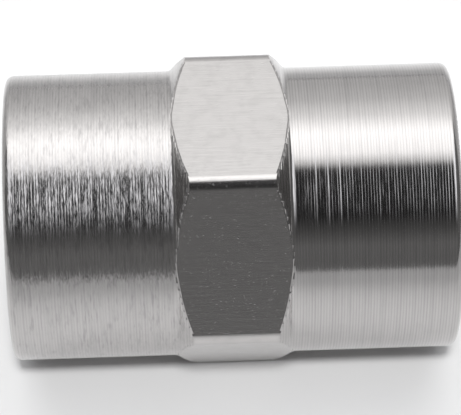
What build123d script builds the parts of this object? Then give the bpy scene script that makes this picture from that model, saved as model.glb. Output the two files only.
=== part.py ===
from build123d import *
from math import cos, radians, tan
import os

# A female-to-female pipe coupling, turned from hexagonal bar in one piece.
# Its axis lies along X, its centre is the origin, and two of its flats face up and down (+Z and -Z).
# All sizes are millimetres, all angles degrees.

# outside
overall_length = 26.2
across_flats = 17.0
corner_radius = 0.9  # the drawn bar's rounded corners
collar_length = 6.7  # the hexagon, between the two circles where its cones meet the barrels
cone_angle = 37.0  # between an end plane and the cone that takes the hexagon's corners down
flat_step = 0.025  # how far the barrels lie below the flats
shoulder_fillet = 0.4  # left by the tool's nose where a cone meets a barrel
rim_radius = 0.5  # the rounded outer edge of each end

# pipe thread: parallel Whitworth form, G 1/4, right-handed
thread_major = 13.157
thread_depth = 0.6385  # from the major radius in to the minor one, cut a little short of full depth
threads_per_inch = 19
flank_angle = 27.5  # half of the 55 degree thread angle
root_rounding = 0.137329  # the Whitworth root radius, as a share of the pitch
apex_height = 0.160082  # how far the sharp V reaches past its rounded root, as a share of the pitch

# inside
mouth_margin = 0.2  # how far each mouth's 45 degree chamfer opens past the thread's major radius
pilot_step = 0.19  # how far the drilled hole's wall, left plain behind the thread, lies inside the minor bore
tap_overlap = 0.01  # how far the thread's groove is cut past the drilled hole's wall
thread_runout = 1.8  # the length of that plain stretch
drill_point = 118.0
web_ledge = 0.75  # how far the ring between the two ports, which stops a pipe, stands in from the drilled hole
web_length = 3.2

# worked out from the sizes above
end_x = overall_length / 2
flat_radius = across_flats / 2
barrel_radius = flat_radius - flat_step
major_radius = thread_major / 2
minor_radius = major_radius - thread_depth
pitch = 25.4 / threads_per_inch
mouth_radius = major_radius + mouth_margin
pilot_radius = minor_radius - pilot_step
web_radius = pilot_radius - web_ledge
pilot_x = web_length / 2 + (pilot_radius - web_radius) / tan(radians(drill_point / 2))
thread_x = pilot_x + thread_runout
rim = min(rim_radius, (barrel_radius - mouth_radius) / 2)  # a thin end wall takes a smaller rounding
overshoot = 1.0  # how far a cutting shape runs past the surface that it opens
stock_x = end_x + 2 * pitch  # where the bar ends before it is faced to length


def mirrored_outline(right_half):
    """A closed outline in the XY plane, from its points at positive x and their mirror images."""
    left_half = [(-x, y) for x, y in reversed(right_half)]
    return make_face(Polyline(*right_half, *left_half, close=True))


def turned_about_axis(outline):
    """The solid that an outline above the X axis sweeps in one turn about it."""
    return revolve(outline, Axis.X)


def threaded_stock():
    """Over-long bar with both ports drilled, bored and tapped, before its ends are faced."""
    right_groove = thread_groove()
    left_groove = right_groove.rotate(Axis.Z, 180)
    return hexagonal_bar() - bore_space() - right_groove - left_groove


def hexagonal_bar():
    """The drawn bar, with a flat above and below and a corner on each side."""
    section = Plane.YZ * RegularPolygon(flat_radius, 6, major_radius=False)
    section = fillet(section.vertices(), corner_radius)
    return extrude(section, stock_x, both=True)


def bore_space():
    """The space inside: minor bores, plain pilots, drill points and the web's bore."""
    outline = mirrored_outline(
        [
            (web_length / 2, web_radius),
            (pilot_x, pilot_radius),
            (thread_x, pilot_radius),
            (thread_x, minor_radius),
            (stock_x + overshoot, minor_radius),
            (stock_x + overshoot, 0),
        ]
    )
    return turned_about_axis(outline)


def thread_groove():
    """The groove of the right-hand port's thread, from the end of its full thread out past the end face."""
    apex_radius = major_radius + apex_height * pitch
    inner_radius = pilot_radius - tap_overlap
    half_width = (apex_radius - inner_radius) * tan(radians(flank_angle))
    section = Polygon(
        (inner_radius - major_radius, -half_width),
        (apex_radius - major_radius, 0),
        (inner_radius - major_radius, half_width),
        align=None,
    )
    apex = section.vertices().sort_by(Axis.X)[-1]
    section = fillet(apex, root_rounding * pitch)
    path = Helix(
        pitch,
        end_x + pitch - thread_x,
        major_radius,
        center=(thread_x, 0, 0),
        direction=(1, 0, 0),
    )
    start = path @ 0
    at_start = Plane(origin=start, x_dir=(0, start.Y, start.Z), z_dir=path % 0)
    return sweep(at_start * section, path=path, is_frenet=True)


def turned_envelope():
    """What the lathe leaves: two round barrels, and a cone from each up past the hexagon's corners."""
    past_corners = flat_radius / cos(radians(30)) + overshoot
    shoulder_x = collar_length / 2
    cone_top_x = shoulder_x - (past_corners - barrel_radius) * tan(radians(cone_angle))
    outline = mirrored_outline(
        [
            (cone_top_x, past_corners),
            (shoulder_x, barrel_radius),
            (end_x, barrel_radius),
            (end_x, 0),
        ]
    )
    outline = fillet(corners_at(outline, shoulder_x, barrel_radius), shoulder_fillet)
    outline = fillet(corners_at(outline, end_x, barrel_radius), rim)
    return turned_about_axis(outline)


def corners_at(outline, x, radius):
    """An outline's two corners at this distance from its middle and this radius."""
    return outline.vertices().filter_by(lambda v: abs(abs(v.X) - x) < 1e-6 and abs(v.Y - radius) < 1e-6)


def mouth_chamfer():
    """The 45 degree cone that opens the right-hand port at its end face."""
    corners = [
        (end_x - mouth_radius, 0),
        (end_x + overshoot, mouth_radius + overshoot),
        (end_x + overshoot, 0),
    ]
    return turned_about_axis(make_face(Polyline(*corners, close=True)))


def coupling_body():
    right_mouth = mouth_chamfer()
    left_mouth = right_mouth.rotate(Axis.Z, 180)
    return (threaded_stock() & turned_envelope()) - right_mouth - left_mouth


os.makedirs("parts", exist_ok=True)
export_step(coupling_body(), "parts/coupling_body.step")
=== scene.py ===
import bpy
import random
from math import cos, hypot, pi, radians, sin, tan
from mathutils import Matrix, Vector


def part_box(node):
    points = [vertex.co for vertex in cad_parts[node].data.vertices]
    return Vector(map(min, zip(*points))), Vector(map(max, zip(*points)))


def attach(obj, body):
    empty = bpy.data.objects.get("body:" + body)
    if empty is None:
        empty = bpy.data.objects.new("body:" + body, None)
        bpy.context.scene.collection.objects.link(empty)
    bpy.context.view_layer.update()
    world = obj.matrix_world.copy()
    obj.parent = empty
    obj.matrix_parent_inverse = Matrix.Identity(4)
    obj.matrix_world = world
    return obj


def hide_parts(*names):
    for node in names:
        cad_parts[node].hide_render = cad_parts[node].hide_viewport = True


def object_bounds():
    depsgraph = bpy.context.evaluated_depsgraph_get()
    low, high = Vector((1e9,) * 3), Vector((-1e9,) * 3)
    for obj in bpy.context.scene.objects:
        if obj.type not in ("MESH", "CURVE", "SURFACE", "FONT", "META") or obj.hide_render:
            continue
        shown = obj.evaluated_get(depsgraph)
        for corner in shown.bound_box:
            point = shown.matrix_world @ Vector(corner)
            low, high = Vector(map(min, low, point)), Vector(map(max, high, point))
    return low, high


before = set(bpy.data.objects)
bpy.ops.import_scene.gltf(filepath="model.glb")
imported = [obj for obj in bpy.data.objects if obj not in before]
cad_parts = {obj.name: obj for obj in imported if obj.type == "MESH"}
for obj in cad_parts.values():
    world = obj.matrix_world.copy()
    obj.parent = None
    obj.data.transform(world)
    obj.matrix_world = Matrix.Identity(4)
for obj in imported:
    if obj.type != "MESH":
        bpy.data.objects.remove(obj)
cadLow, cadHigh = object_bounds()
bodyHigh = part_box("coupling_body")[1]
mm = 0.001  # pieces are modelled in millimetres and brought to metres at the end

shape = {
    "halfLength": bodyHigh.x / mm,
    "flatRadius": bodyHigh.z / mm,
    "flatStep": 0.025,  # the barrels lie this far below the flats
    "cornerRadius": 0.9,
    "cornerSegments": 8,
    "collarLength": 6.7,
    "coneAngle": 37,  # degrees from the end planes
    "crownMargin": 0.4,  # the cones run out this far past the bar's sharp corners
    "shoulderFillet": 0.4,
    "filletSteps": 5,
    "rimRadius": 0.5,
    "rimSteps": 7,
    "boreStep": 1.2,  # about how long each step of the bore's outline is
    "stepsRound": 128,
    "mergeGap": 0.0005,  # where the spun outline closes on itself
    "barLength": 2.4,  # in half lengths of the coupling, so that it passes both ends
    "smoothAngle": 15,
}
shape["barrelRadius"] = shape["flatRadius"] - shape["flatStep"]
shape["slope"] = radians(90 - shape["coneAngle"])  # of the cones, from the axis
shape["filletReach"] = shape["shoulderFillet"] * tan(shape["slope"] / 2)
shape["barrelStart"] = shape["collarLength"] / 2 + shape["filletReach"]

port = {
    "majorRadius": 13.157 / 2,
    "minorRadius": 11.88 / 2,
    "pitch": 25.4 / 19,
    "flankAngle": 27.5,
    "apexHeight": 0.160082,  # of the pitch, from the rounded root out to the sharp V
    "rootRounding": 0.137329,  # of the pitch
    "rootTurn": 30,  # the root's arc is drawn as a flat, from this angle on one side to the other
    "mouthMargin": 0.2,
    "pilotRadius": 11.5 / 2,
    "plainLength": 1.8,
    "drillAngle": 59,
    "webRadius": 5.0,
    "webLength": 3.2,
    "stepsPerTurn": 72,
    "spareTurns": 2,  # carry the coil out past the mouth
    "fadeTurns": 0.8,  # the last stretch of thread runs out over this
    "sinkMargin": 0.05,  # and ends this far inside the bore's wall
}
port["mouthRadius"] = port["majorRadius"] + port["mouthMargin"]
port["pilotEnd"] = port["webLength"] / 2
port["pilotEnd"] += (port["pilotRadius"] - port["webRadius"]) / tan(radians(port["drillAngle"]))
port["threadEnd"] = port["pilotEnd"] + port["plainLength"]

marks = {
    "feed": 0.17,  # how far the tool moves in one turn
    "depth": {"right": 0.007, "left": 0.009, "cone": 0.004},
    "samples": 4,  # points along each mark
    "spread": {"right": 0.2, "left": 0.3, "cone": 0.4},  # how unlike each other the marks are
    "crest": 0.7,  # how much of the spread lowers the crests
    "faceFeed": 0.2,
    "seed": 11,
}


def deselectAll():
    if bpy.context.object and bpy.context.object.mode != "OBJECT":
        bpy.ops.object.mode_set(mode="OBJECT")
    bpy.ops.object.select_all(action="DESELECT")


def makeActive(piece):
    deselectAll()
    piece.select_set(True)
    bpy.context.view_layer.objects.active = piece


def applyModifier(piece, kind, **settings):
    makeActive(piece)
    modifier = piece.modifiers.new(kind.title(), kind)
    for key, value in settings.items():
        setattr(modifier, key, value)
    bpy.ops.object.modifier_apply(modifier=modifier.name)


def radiusOf(point):
    return hypot(point.y, point.z)


def arc(centre, radius, startAngle, endAngle, steps):
    # points round part of a circle, without its last one
    turn = (endAngle - startAngle) / steps
    angles = [radians(startAngle + turn * k) for k in range(steps)]
    return [Vector((centre[0] + radius * cos(a), centre[1] + radius * sin(a))) for a in angles]


def markedLine(start, end, feed, side, dice):
    # points from start towards end, with a shallow hollow for each turn of the work
    # each hollow lies on the right of the way
    start, end = Vector(start), Vector(end)
    way = end - start
    inward = Vector((way.y, -way.x)).normalized()
    count = max(1, round(way.length / feed))
    depth, spread = marks["depth"][side], marks["spread"][side]
    points = []
    for turn in range(count):
        deep = depth * (1 + spread * dice.uniform(-1, 1))
        crest = depth * spread * dice.uniform(0, marks["crest"])
        for k in range(marks["samples"]):
            share = k / marks["samples"]
            hollow = crest * (1 - share) + deep * 4 * share * (1 - share)  # 4 makes the middle 1 deep
            points.append(start + way * (turn + share) / count + inward * hollow)
    return points


def halfOutline(side, dice):
    # one half of the turned section, from the collar's crown to the web's edge, at positive x
    s, p = shape, port
    crown = s["flatRadius"] / cos(pi / 6) + s["crownMargin"]
    shoulder = s["collarLength"] / 2
    crownX = shoulder - (crown - s["barrelRadius"]) / tan(s["slope"])
    reach = s["filletReach"]
    coneEnd = (shoulder - reach * cos(s["slope"]), s["barrelRadius"] + reach * sin(s["slope"]))
    filletCentre = (s["barrelStart"], s["barrelRadius"] + s["shoulderFillet"])
    rimX = s["halfLength"] - s["rimRadius"]
    faceRadius = s["barrelRadius"] - s["rimRadius"]
    barrel = (s["barrelStart"], s["barrelRadius"]), (rimX, s["barrelRadius"])
    endFace = (s["halfLength"], faceRadius), (s["halfLength"], p["mouthRadius"])
    points = [Vector((crownX / 2, crown))]
    points += markedLine((crownX, crown), coneEnd, marks["feed"], "cone", dice)
    points += arc(filletCentre, s["shoulderFillet"], 180 + s["coneAngle"], 270, s["filletSteps"])
    points += markedLine(*barrel, marks["feed"], side, dice)
    points += arc((rimX, faceRadius), s["rimRadius"], 90, 0, s["rimSteps"])
    points += markedLine(*endFace, marks["faceFeed"], side, dice)
    mouthEnd = s["halfLength"] - (p["mouthRadius"] - p["minorRadius"])
    corners = [
        (s["halfLength"], p["mouthRadius"]),
        (mouthEnd, p["minorRadius"]),
        (p["threadEnd"], p["minorRadius"]),
        (p["threadEnd"], p["pilotRadius"]),
        (p["pilotEnd"], p["pilotRadius"]),
        (p["webLength"] / 2, p["webRadius"]),
    ]
    for near, far in zip(corners, corners[1:]):
        near, far = Vector(near), Vector(far)
        steps = max(1, round((far - near).length / s["boreStep"]))
        points += [near.lerp(far, k / steps) for k in range(steps)]
    return points + [Vector(corners[-1])]


def turnedBlank():
    # a ring of points is laid on the section's outline, then spun about the axis
    dice = random.Random(marks["seed"])
    right = halfOutline("right", dice)
    left = [Vector((-x, y)) for x, y in halfOutline("left", dice)]
    outline = right + left[::-1]
    deselectAll()
    bpy.ops.mesh.primitive_circle_add(vertices=len(outline), radius=shape["halfLength"])
    blank = bpy.context.object
    blank.name = "coupling"
    for vertex, point in zip(blank.data.vertices, outline):
        vertex.co = (point.x, 0, point.y)
    bpy.ops.object.mode_set(mode="EDIT")
    bpy.ops.mesh.select_all(action="SELECT")
    bpy.ops.mesh.spin(steps=shape["stepsRound"], angle=2 * pi, center=(0, 0, 0), axis=(1, 0, 0))
    bpy.ops.mesh.select_all(action="SELECT")
    bpy.ops.mesh.remove_doubles(threshold=shape["mergeGap"])
    bpy.ops.mesh.normals_make_consistent(inside=False)
    bpy.ops.object.mode_set(mode="OBJECT")
    return blank


def hexagonalBar():
    # the drawn bar: a six-sided prism with rounded corners and a flat on top
    deselectAll()
    bpy.ops.mesh.primitive_cylinder_add(
        vertices=6,
        radius=shape["flatRadius"] / cos(pi / 6),
        depth=shape["barLength"] * shape["halfLength"],
        rotation=(0, radians(90), 0),
    )
    bar = bpy.context.object
    bpy.ops.object.transform_apply(location=False, rotation=True, scale=False)
    bpy.ops.object.mode_set(mode="EDIT")
    bpy.ops.mesh.select_mode(type="EDGE")
    bpy.ops.mesh.select_all(action="DESELECT")
    bpy.ops.object.mode_set(mode="OBJECT")
    for edge in bar.data.edges:
        ends = [bar.data.vertices[i].co for i in edge.vertices]
        edge.select = abs(ends[0].x - ends[1].x) > shape["halfLength"]
    bpy.ops.object.mode_set(mode="EDIT")
    bpy.ops.mesh.bevel(offset=shape["cornerRadius"] * tan(pi / 6), segments=shape["cornerSegments"])
    bpy.ops.object.mode_set(mode="OBJECT")
    return bar


def threadCutter(side):
    # a V-shaped coil for a right-handed thread in the port on that side
    # its inner end sinks away, as a tap's first teeth leave it
    p = port
    apex = p["majorRadius"] + p["apexHeight"] * p["pitch"]
    inner = p["minorRadius"] - p["mouthMargin"]
    rounding = p["rootRounding"] * p["pitch"]
    flank, rootTurn = radians(p["flankAngle"]), radians(p["rootTurn"])
    tangentRadius = p["majorRadius"] - rounding * (1 - sin(flank))
    tangentHalf = (apex - tangentRadius) * tan(flank)
    innerHalf = (apex - inner) * tan(flank)
    rootHalf = rounding * sin(rootTurn)
    rootRadius = p["majorRadius"] - rounding * (1 - cos(rootTurn))
    corners = [
        (-innerHalf, inner),
        (-tangentHalf, tangentRadius),
        (-rootHalf, rootRadius),
        (rootHalf, rootRadius),
        (tangentHalf, tangentRadius),
        (innerHalf, inner),
    ]
    deselectAll()
    bpy.ops.mesh.primitive_circle_add(vertices=len(corners), radius=1)
    coil = bpy.context.object
    for vertex, (x, radius) in zip(coil.data.vertices, corners):
        vertex.co = (p["threadEnd"] + x, 0, radius)
    applyModifier(
        coil,
        "SCREW",
        axis="X",
        angle=2 * pi,
        screw_offset=p["pitch"],
        iterations=int((shape["halfLength"] - p["threadEnd"]) / p["pitch"]) + p["spareTurns"],
        steps=p["stepsPerTurn"],
        render_steps=p["stepsPerTurn"],
    )
    fadeSteps = round(p["fadeTurns"] * p["stepsPerTurn"])
    fullSink = p["majorRadius"] - p["minorRadius"] + p["sinkMargin"]
    for index, vertex in enumerate(coil.data.vertices):
        step = index // len(corners)
        if step < fadeSteps:
            sunk = fullSink * (1 - step / fadeSteps)
            shrink = 1 - sunk / radiusOf(vertex.co)
            vertex.co.y *= shrink
            vertex.co.z *= shrink
    bpy.ops.object.mode_set(mode="EDIT")
    bpy.ops.mesh.select_mode(type="EDGE")
    bpy.ops.mesh.select_all(action="DESELECT")
    bpy.ops.mesh.select_non_manifold(
        use_wire=False,
        use_multi_face=False,
        use_non_contiguous=False,
        use_verts=False,
    )
    bpy.ops.mesh.edge_face_add()
    bpy.ops.mesh.select_all(action="SELECT")
    bpy.ops.mesh.normals_make_consistent(inside=False)
    bpy.ops.object.mode_set(mode="OBJECT")
    if side == "left":
        coil.rotation_euler.z = pi
        bpy.ops.object.transform_apply(location=False, rotation=True, scale=False)
    return coil


border = {
    "width": 0.09,  # of the worn edge round each flat
    "drop": 0.045,
    "facing": 0.9999,  # least cosine between a flat's face and its outward direction
    "slack": 0.005,  # how far under the flat such a face may lie
    "flatGap": 0.012,  # points nearer than this are merged before the inset
    "foldGap": 0.07,  # and nearer than this after it, to clear the small folds in the corners
    "straightMargin": 0.03,
}


def flatDirection(face):
    # the outward direction of the bar's flat that a face lies on, if it lies on one
    for turn in range(6):
        outward = Vector((0, sin(turn * pi / 3), cos(turn * pi / 3)))
        near = face.center.dot(outward) > shape["flatRadius"] - border["slack"]
        if near and face.normal.dot(outward) > border["facing"]:
            return outward
    return None


def breakFlatEdges(body):
    # each flat gets a narrow worn border, by insetting it and sinking the border's outer edge
    halfWidth = (shape["flatRadius"] - shape["cornerRadius"]) * tan(pi / 6)
    rise = hypot(shape["flatRadius"], halfWidth) - shape["barrelRadius"]
    straightEnd = shape["collarLength"] / 2 - rise * tan(radians(shape["coneAngle"]))
    bpy.ops.object.mode_set(mode="EDIT")
    bpy.ops.mesh.select_mode(type="FACE")
    bpy.ops.mesh.select_all(action="DESELECT")
    bpy.ops.object.mode_set(mode="OBJECT")
    for face in body.data.polygons:
        face.select = flatDirection(face) is not None
    bpy.ops.object.mode_set(mode="EDIT")
    bpy.ops.mesh.remove_doubles(threshold=border["flatGap"])
    bpy.ops.mesh.inset(thickness=border["width"], use_even_offset=False, use_individual=True)
    bpy.ops.object.mode_set(mode="OBJECT")
    inside = {i for face in body.data.polygons if face.select for i in face.vertices}
    sunk = set()
    for face in body.data.polygons:
        around = set(face.vertices)
        outward = flatDirection(face) if face.select else None
        if outward:
            for i in around:  # merging left some of these a little off the flat
                vertex = body.data.vertices[i]
                vertex.co -= outward * (vertex.co.dot(outward) - shape["flatRadius"])
        if face.select or not around & inside:
            continue
        for i in around - inside - sunk:
            vertex = body.data.vertices[i]
            # the straight edges beside the rounded corners stay as they are
            if abs(vertex.co.x) > straightEnd + border["straightMargin"]:
                vertex.co -= face.normal * border["drop"]
                sunk.add(i)
    bpy.ops.object.mode_set(mode="EDIT")
    bpy.ops.mesh.remove_doubles(threshold=border["foldGap"])
    bpy.ops.mesh.poke()
    bpy.ops.object.mode_set(mode="OBJECT")


finishes = {"turned": 0, "drawn": 1, "bored": 2}

sorting = {
    "mouthSlack": 0.02,
    "inward": -0.05,  # a bore's wall looks away from the axis less than this
    "endFacing": 0.999,  # the end faces look along the axis more than this
    "slant": 0.3,  # and the bar's own surface less than this
    "barrelSlack": 0.01,
}


def finishOf(face):
    # which finish a face gets, by where it lies and how it faces
    centre = face.center
    spoke = Vector((0, centre.y, centre.z)).normalized()
    radius, along = radiusOf(centre), abs(face.normal.x)
    inward = face.normal.dot(spoke) < sorting["inward"]
    inMouth = radius < port["mouthRadius"] + sorting["mouthSlack"]
    if inMouth and (inward or radius < port["minorRadius"] or along < sorting["endFacing"]):
        return finishes["bored"]
    onCollar = abs(centre.x) < shape["collarLength"] / 2
    if onCollar and along < sorting["slant"] and radius > shape["barrelRadius"] + sorting["barrelSlack"]:
        return finishes["drawn"]
    return finishes["turned"]


def makeCoupling():
    body = turnedBlank()
    print("turned blank:", len(body.data.polygons), "faces")
    bar = hexagonalBar()
    coils = [threadCutter("right"), threadCutter("left")]
    applyModifier(body, "BOOLEAN", operation="INTERSECT", object=bar, solver="EXACT")
    for coil in coils:
        applyModifier(body, "BOOLEAN", operation="DIFFERENCE", object=coil, solver="EXACT")
    breakFlatEdges(body)
    for tool in (bar, *coils):
        bpy.data.objects.remove(tool)
    flats = [face.index for face in body.data.polygons if flatDirection(face)]
    for face in body.data.polygons:
        face.material_index = finishOf(face)
    body.scale = (mm, mm, mm)
    makeActive(body)
    bpy.ops.object.transform_apply(location=False, rotation=False, scale=True)
    bpy.ops.object.shade_smooth_by_angle(angle=radians(shape["smoothAngle"]))
    for index in flats:
        body.data.polygons[index].use_smooth = False
    print("cut coupling:", len(body.data.polygons), "faces")
    return body


class Wire:
    # one output socket, with arithmetic that adds Math nodes
    def __init__(self, socket):
        self.socket = socket
        self.tree = socket.id_data

    def node(self, kind, settings=None, inputs=None, output=0):
        return makeNode(self.tree, kind, settings, inputs, output)

    def maths(self, operation, *values):
        return self.node("ShaderNodeMath", {"operation": operation}, dict(enumerate(values)))

    def __add__(self, other):
        return self.maths("ADD", self, other)

    def __radd__(self, other):
        return self.maths("ADD", other, self)

    def __sub__(self, other):
        return self.maths("SUBTRACT", self, other)

    def __rsub__(self, other):
        return self.maths("SUBTRACT", other, self)

    def __mul__(self, other):
        return self.maths("MULTIPLY", self, other)

    def __abs__(self):
        return self.maths("ABSOLUTE", self)

    def between(self, low, high):
        # 0 at low, 1 at high, with an easy start and stop
        settings = {"interpolation_type": "SMOOTHSTEP"}
        return self.node("ShaderNodeMapRange", settings, {0: self, 1: low, 2: high})


def makeNode(tree, kind, settings=None, inputs=None, output=0):
    made = tree.nodes.new(kind)
    for key, value in (settings or {}).items():
        if key == "stops":
            for stop, (place, colour) in zip(rampStops(made, len(value)), value):
                stop.position = place
                stop.color = colour
        else:
            setattr(made, key, value)
    for key, value in (inputs or {}).items():
        if isinstance(value, Wire):
            tree.links.new(value.socket, made.inputs[key])
        else:
            made.inputs[key].default_value = value
    return Wire(made.outputs[output])


def rampStops(made, count):
    stops = made.color_ramp.elements
    while len(stops) < count:
        stops.new(0.5)
    return stops


def finishTree(tree, kind, surface):
    output = tree.nodes.new(kind)
    tree.links.new(surface.socket, output.inputs["Surface"])


def newMaterial(name):
    material = bpy.data.materials.new(name)
    material.use_nodes = True
    material.node_tree.nodes.clear()
    return material.node_tree, material


def grain(tree, rates, detail=3.0):
    # noise on the piece's own coordinates, which changes at these rates per mm along the axes
    place = makeNode(tree, "ShaderNodeTexCoord", output="Object")
    factors = [rate / mm for rate in rates]
    scaled = makeNode(tree, "ShaderNodeVectorMath", {"operation": "MULTIPLY"}, {0: place, 1: factors})
    values = {"Vector": scaled, "Scale": 1.0, "Detail": detail, "Roughness": 0.6}
    return makeNode(tree, "ShaderNodeTexNoise", {}, values, "Fac")


def axialPlace(tree):
    place = makeNode(tree, "ShaderNodeTexCoord", output="Object")
    return makeNode(tree, "ShaderNodeSeparateXYZ", {}, {0: place}, "X") * (1 / mm)


def blend(tree, share, first, second):
    inputs = {"Factor": share, "A": first, "B": second}
    return makeNode(tree, "ShaderNodeMix", {"data_type": "RGBA"}, inputs, 2)


def metal(tree, colour, roughness, height, depth):
    bump = makeNode(tree, "ShaderNodeBump", {}, {"Strength": 1.0, "Distance": depth * mm, "Height": height})
    surface = makeNode(
        tree,
        "ShaderNodeBsdfPrincipled",
        {},
        {"Base Color": colour, "Metallic": 1.0, "Roughness": roughness, "Normal": bump},
    )
    finishTree(tree, "ShaderNodeOutputMaterial", surface)


nickel = {
    "bright": (0.588, 0.571, 0.563, 1),
    "dull": (0.49, 0.476, 0.468, 1),
    # the darker colour of the painted shade in the turning marks
    "paintedShadeColour": (0.42, 0.408, 0.405, 1),
}

turned = {
    "longRates": (6, 0.1, 0.1),
    "shortRates": (6.5, 1.0, 1.0),
    "hairRates": (16, 0.6, 0.6),
    "cloudRates": (0.35, 0.5, 0.5),
    "tornEdge": (2, -2),  # the work is clean on the right and torn on the left of these, in mm
    # each pair is a value on the clean side and what the torn side adds to it
    "longHeight": (0.35, -0.2),
    "shortHeight": (0.3, 1.9),
    # the next two pairs set how strong the painted shade of the marks is on each side
    "shortShadeShare": (0.1, 0.45),
    "crestShadeShare": (0.55, -0.2),
    "roughness": (0.11, 0.06),
    "hairHeight": 0.3,
    "hairRoughness": 0.05,
    "cloudEdge": (0.45, 0.75),
    "cloudShare": 0.4,
    # the long, short and crest edges and the long share shape the painted shade in the marks
    "longEdge": (0.56, 0.34),
    "longShadeShare": 0.3,
    "shortEdge": (0.5, 0.3),
    "crestEdge": (0.3, 0.95),
    "depth": 0.012,  # mm
}


def turnedNickel():
    tree, material = newMaterial("turned nickel")
    longLines = grain(tree, turned["longRates"], detail=2.0)
    shortLines = grain(tree, turned["shortRates"], detail=2.0)
    hair = grain(tree, turned["hairRates"], detail=1.0)
    clouds = grain(tree, turned["cloudRates"])
    place = axialPlace(tree)
    torn = place.between(*turned["tornEdge"])

    def worn(name):
        clean, change = turned[name]
        return clean + torn * change

    height = longLines * worn("longHeight") + shortLines * worn("shortHeight")
    height = height + hair * turned["hairHeight"]
    cloudy = clouds.between(*turned["cloudEdge"]) * turned["cloudShare"]
    clean = blend(tree, cloudy, nickel["bright"], nickel["dull"])
    # painted shade of the turning marks: the colour darkens in the hollows, where the long and short grain
    # sink the bump, and along each turn's crest line
    turns = (abs(place) - shape["barrelStart"]) * (1 / marks["feed"])
    crests = 1 - turns.maths("PINGPONG", turns, 0.5) * 2
    paintedMarkShade = longLines.between(*turned["longEdge"]) * turned["longShadeShare"]
    paintedMarkShade = paintedMarkShade + shortLines.between(*turned["shortEdge"]) * worn("shortShadeShare")
    paintedMarkShade = paintedMarkShade + crests.between(*turned["crestEdge"]) * worn("crestShadeShare")
    colour = blend(tree, paintedMarkShade, clean, nickel["paintedShadeColour"])
    roughness = worn("roughness") + hair * turned["hairRoughness"]
    metal(tree, colour, roughness, height, turned["depth"])
    return material


drawn = {
    "lineRates": (0.5, 8, 8),
    "mottleRates": (1.2, 1.2, 1.2),
    "pitRates": (7, 7, 7),
    "lineEdge": (0.45, 0.75),
    "mottleEdge": (0.4, 0.7),
    "pitEdge": (0.66, 0.76),
    "lineShare": 0.4,
    "mottleShare": 0.35,
    "pitShare": 0.3,
    "lineHeight": 1.3,
    "pitDepth": 0.9,
    "roughness": 0.16,
    "mottleRoughness": 0.06,
    "depth": 0.004,  # mm
}


def drawnNickel():
    tree, material = newMaterial("drawn nickel")
    lines = grain(tree, drawn["lineRates"])
    mottle = grain(tree, drawn["mottleRates"])
    pits = grain(tree, drawn["pitRates"], detail=1.0).between(*drawn["pitEdge"])
    wear = mottle.between(*drawn["mottleEdge"]) * drawn["mottleShare"]
    wear = wear + lines.between(*drawn["lineEdge"]) * drawn["lineShare"] + pits * drawn["pitShare"]
    colour = blend(tree, wear, nickel["bright"], nickel["dull"])
    height = lines * drawn["lineHeight"] - pits * drawn["pitDepth"]
    roughness = drawn["roughness"] + mottle * drawn["mottleRoughness"]
    metal(tree, colour, roughness, height, drawn["depth"])
    return material


bored = {
    "lineRates": (6, 0.4, 0.4),
    "lineEdge": (0.35, 0.7),
    "lineShare": 0.5,
    "roughness": 0.27,
    "lineRoughness": 0.1,
    "depth": 0.006,  # mm
}


def boredNickel():
    tree, material = newMaterial("bored nickel")
    lines = grain(tree, bored["lineRates"])
    wear = lines.between(*bored["lineEdge"]) * bored["lineShare"]
    colour = blend(tree, wear, nickel["bright"], nickel["dull"])
    roughness = bored["roughness"] + lines * bored["lineRoughness"]
    metal(tree, colour, roughness, lines, bored["depth"])
    return material


coupling = makeCoupling()
for material in (turnedNickel(), drawnNickel(), boredNickel()):  # in the order of finishes
    coupling.data.materials.append(material)
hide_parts("coupling_body")
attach(coupling, "root")

studio = {
    "floorSize": 1.6,
    "floorColour": (0.76, 0.76, 0.76, 1),
    "floorRates": (0.05, 0.05, 0.05),
    "floorDulling": 0.98,
    "floorRoughness": 0.7,
    "azimuth": -1.8,
    "elevation": 50.45,
    "roll": -0.46,
    "distance": 0.1685,
    "lens": 220.3,
    "aimUp": 0.00022,
    "clip": (0.01, 10),
    # how bright the room is at each height, in degrees
    # they run from the horizon in front over the top to the one behind
    "levels": [
        (0, 0.15),
        (20, 0.17),
        (30, 0.1),
        (44, 0.018),
        (82, 0.014),
        (87, 0.9),
        (94, 1.7),
        (112, 2.0),
        (119, 1.7),
        (129, 1.22),
        (148, 0.78),
        (170, 0.62),
        (180, 0.62),
    ],
    "brightest": 2.2,  # colours in the world are shares of this
    "sideEdge": (0.12, 0.4),  # two panels stand to the sides
    "sideRise": (32, 68),  # they come in over these heights
    "sideFall": (112, 88),  # and go out over these
    "sideColour": (1.5, 1.52, 1.58),
    "endEdge": (0.5, 0.66),  # past them are the room's ends, dark in front and paler behind
    "endRise": (115, 150),
    "endLow": 0.13,
    "endHigh": 0.6,
    "poolPower": 7,
    "poolAngle": 15,
    "poolSoftness": 0.03,
    "poolPlace": (0, -0.21, 0.38),
    "poolTilt": 30,
}


def makeFloor():
    deselectAll()
    bpy.ops.mesh.primitive_plane_add(size=studio["floorSize"], location=(0, 0, cadLow.z))
    floor = bpy.context.object
    floor.name = "floor"
    tree, material = newMaterial("pale floor")
    faint = grain(tree, studio["floorRates"])
    dulled = [c * studio["floorDulling"] for c in studio["floorColour"][:3]] + [1]
    colour = blend(tree, faint, studio["floorColour"], dulled)
    inputs = {"Base Color": colour, "Roughness": studio["floorRoughness"]}
    surface = makeNode(tree, "ShaderNodeBsdfPrincipled", {}, inputs)
    finishTree(tree, "ShaderNodeOutputMaterial", surface)
    floor.data.materials.append(material)


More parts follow.
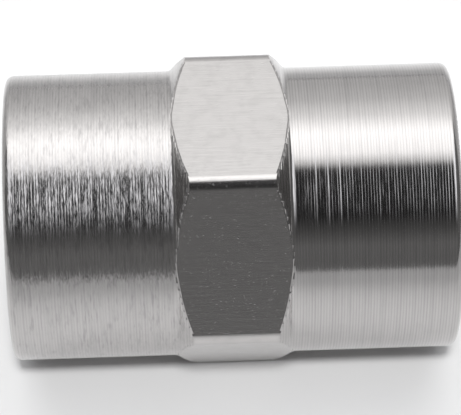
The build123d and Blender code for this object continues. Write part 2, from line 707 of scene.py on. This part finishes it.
def makeCamera():
    azimuth, elevation = radians(studio["azimuth"]), radians(studio["elevation"])
    back = Vector((sin(azimuth) * cos(elevation), -cos(azimuth) * cos(elevation), sin(elevation)))
    data = bpy.data.cameras.new("camera")
    data.lens = studio["lens"]
    data.clip_start, data.clip_end = studio["clip"]
    camera = bpy.data.objects.new("camera", data)
    bpy.context.scene.collection.objects.link(camera)
    turn = (-back).to_track_quat("-Z", "Y").to_matrix() @ Matrix.Rotation(radians(studio["roll"]), 3, "Z")
    camera.rotation_euler = turn.to_euler()
    camera.location = back * studio["distance"] + turn @ Vector((0, studio["aimUp"], 0))
    bpy.context.scene.camera = camera


def worldColour(*levels):
    # one level gives a grey, three give a colour
    red, green, blue = levels if len(levels) == 3 else levels * 3
    top = studio["brightest"]
    return red / top, green / top, blue / top, 1


def makeWorld():
    # a studio seen as light from all round
    # the room is dark in front, with a long soft box overhead and a pale wall behind
    world = bpy.data.worlds.new("studio")
    bpy.context.scene.world = world
    world.use_nodes = True
    tree = world.node_tree
    tree.nodes.clear()
    way = makeNode(tree, "ShaderNodeTexCoord", output="Generated")
    parts = tree.nodes.new("ShaderNodeSeparateXYZ")
    tree.links.new(way.socket, parts.inputs[0])
    x, y, z = (Wire(parts.outputs[k]) for k in range(3))
    climb = z.maths("ARCTAN2", z, 0 - y) * (1 / pi)
    height = climb * 180
    stops = [(angle / 180, worldColour(level)) for angle, level in studio["levels"]]
    ramp = makeNode(tree, "ShaderNodeValToRGB", {"stops": stops}, {"Fac": climb})
    side = abs(x).between(*studio["sideEdge"]) * height.between(*studio["sideRise"])
    side = side * height.between(*studio["sideFall"])
    room = blend(tree, side, ramp, worldColour(*studio["sideColour"]))
    low, high = worldColour(studio["endLow"]), worldColour(studio["endHigh"])
    wall = blend(tree, height.between(*studio["endRise"]), low, high)
    room = blend(tree, abs(x).between(*studio["endEdge"]), room, wall)
    inputs = {"Color": room, "Strength": studio["brightest"]}
    background = makeNode(tree, "ShaderNodeBackground", {}, inputs)
    finishTree(tree, "ShaderNodeOutputWorld", background)


def makePool():
    # a soft pool of light on the floor round the piece, which leaves no reflection in the metal
    data = bpy.data.lights.new("pool", "SPOT")
    data.spot_size = radians(studio["poolAngle"])
    data.spot_blend = 1
    data.shadow_soft_size = studio["poolSoftness"]
    data.energy = studio["poolPower"]
    pool = bpy.data.objects.new("pool", data)
    bpy.context.scene.collection.objects.link(pool)
    pool.location = studio["poolPlace"]
    pool.rotation_euler.x = radians(studio["poolTilt"])
    pool.visible_glossy = False


makeFloor()
makeCamera()
makeWorld()
makePool()
bpy.context.scene.view_settings.view_transform = "Standard"
print("studio ready")
